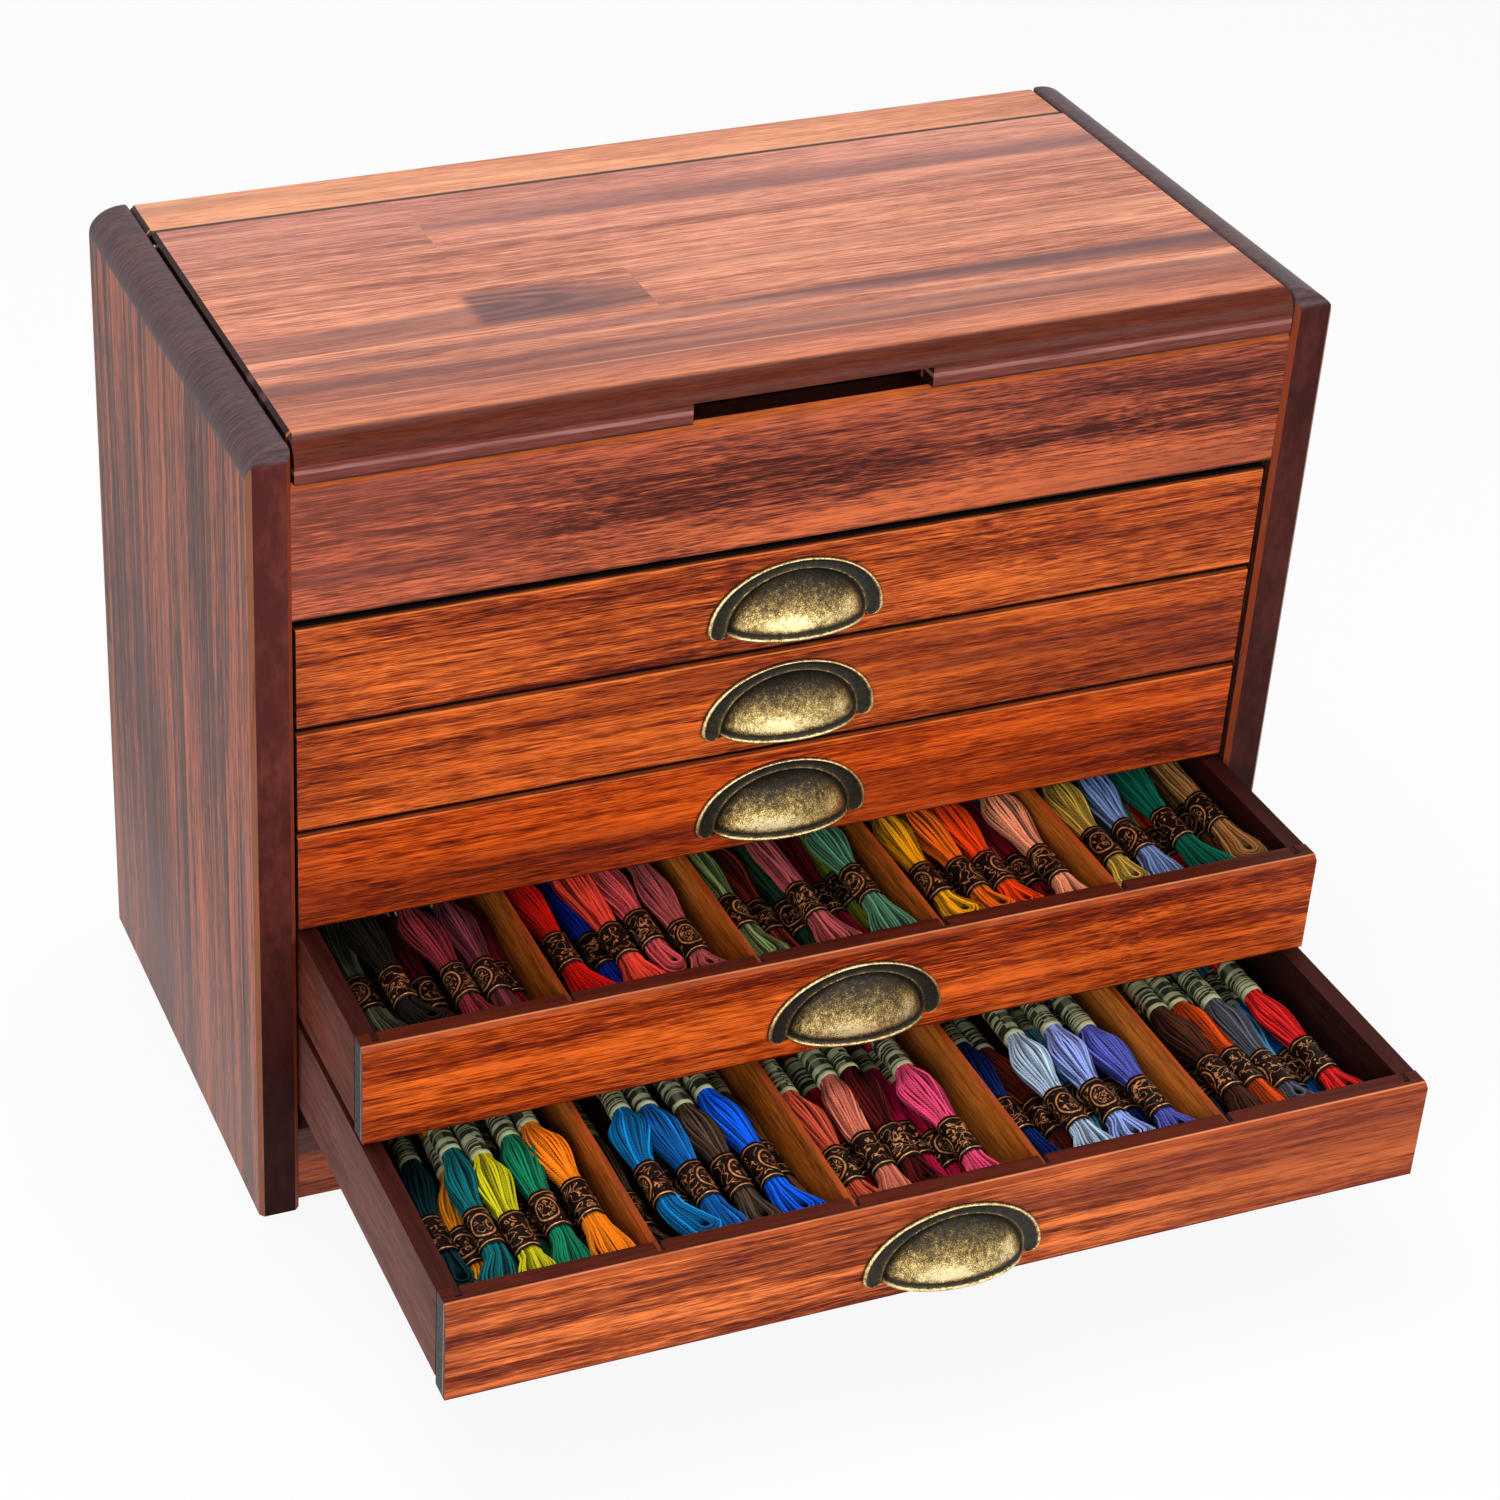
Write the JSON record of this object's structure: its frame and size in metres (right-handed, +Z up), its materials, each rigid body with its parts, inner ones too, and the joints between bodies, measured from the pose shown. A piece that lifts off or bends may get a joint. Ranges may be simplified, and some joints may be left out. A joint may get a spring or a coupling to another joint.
{
  "type": "embroidery thread drawer box",
  "caption": "Wooden thread box: hinged lid over a shallow tray, above divided pull-out drawers with cup pulls; the lowest drawers stand open, filled with skeins.",
  "frame": {"origin": "bottom centre of the whole part as it stands, with the two lowest drawers pulled out; Z = 0 is the table that the side panels stand on", "axes": "+Z up, +Y towards the back of the case, so the drawers slide out along -Y; +X to the right seen from the front"},
  "size_m": [0.5, 0.459, 0.3965],
  "materials": {
    "stained_wood": "satin, red-brown stain",
    "lid_wood": "satin, brown stain",
    "side_wood": "satin, grey-brown stain",
    "drawer_wood": "matte, dark red-brown stain",
    "front_wood": "satin, orange-red stain",
    "divider_wood": "matte, golden brown",
    "antique_brass": "antiqued cast",
    "steel": "zinc plated",
    "thread": "cotton floss in many colours"
  },
  "bodies": {
    "case": {"left_side_panel": "side_wood", "right_side_panel": "side_wood", "back_panel": "stained_wood", "bottom_panel": "stained_wood", "base_front_rail": "stained_wood", "upper_front_panel": "stained_wood", "tray_floor": "stained_wood", "rear_top_strip": "lid_wood", "left_runners": "stained_wood", "right_runners": "stained_wood", "lid_pivot_pins": "steel"},
    "lid": {"lid_panel": "lid_wood"},
    "drawer_1": {"drawer_1_front": "front_wood", "drawer_1_left_side": "drawer_wood", "drawer_1_right_side": "drawer_wood", "drawer_1_back": "drawer_wood", "drawer_1_bottom": "drawer_wood", "drawer_1_dividers": "divider_wood", "drawer_1_pull": "antique_brass", "drawer_1_pull_screws": "steel"},
    "drawer_2": {"drawer_2_front": "front_wood", "drawer_2_left_side": "drawer_wood", "drawer_2_right_side": "drawer_wood", "drawer_2_back": "drawer_wood", "drawer_2_bottom": "drawer_wood", "drawer_2_dividers": "divider_wood", "drawer_2_pull": "antique_brass", "drawer_2_pull_screws": "steel"},
    "drawer_3": {"drawer_3_front": "front_wood", "drawer_3_left_side": "drawer_wood", "drawer_3_right_side": "drawer_wood", "drawer_3_back": "drawer_wood", "drawer_3_bottom": "drawer_wood", "drawer_3_dividers": "divider_wood", "drawer_3_pull": "antique_brass", "drawer_3_pull_screws": "steel"},
    "drawer_4": {"drawer_4_front": "front_wood", "drawer_4_left_side": "drawer_wood", "drawer_4_right_side": "drawer_wood", "drawer_4_back": "drawer_wood", "drawer_4_bottom": "drawer_wood", "drawer_4_dividers": "divider_wood", "drawer_4_pull": "antique_brass", "drawer_4_pull_screws": "steel", "drawer_4_threads": "thread"},
    "drawer_5": {"drawer_5_front": "front_wood", "drawer_5_left_side": "drawer_wood", "drawer_5_right_side": "drawer_wood", "drawer_5_back": "drawer_wood", "drawer_5_bottom": "drawer_wood", "drawer_5_dividers": "divider_wood", "drawer_5_pull": "antique_brass", "drawer_5_pull_screws": "steel", "drawer_5_threads": "thread"}
  },
  "joints": [
    {"name": "lid_hinge", "type": "hinge", "parent": "case", "child": "lid", "pos_m": [0, 0.188, 0.391], "axis": [-1, 0, 0], "range_deg": [0, 100]},
    {"name": "drawer_1_slide", "type": "slide", "parent": "case", "child": "drawer_1", "axis": [0, -1, 0], "range_m": [0, 0.205]},
    {"name": "drawer_2_slide", "type": "slide", "parent": "case", "child": "drawer_2", "axis": [0, -1, 0], "range_m": [0, 0.205]},
    {"name": "drawer_3_slide", "type": "slide", "parent": "case", "child": "drawer_3", "axis": [0, -1, 0], "range_m": [0, 0.205]},
    {"name": "drawer_4_slide", "type": "slide", "parent": "case", "child": "drawer_4", "axis": [0, -1, 0], "range_m": [-0.0889, 0.1161]},
    {"name": "drawer_5_slide", "type": "slide", "parent": "case", "child": "drawer_5", "axis": [0, -1, 0], "range_m": [-0.1956, 0.0094]}
  ]
}
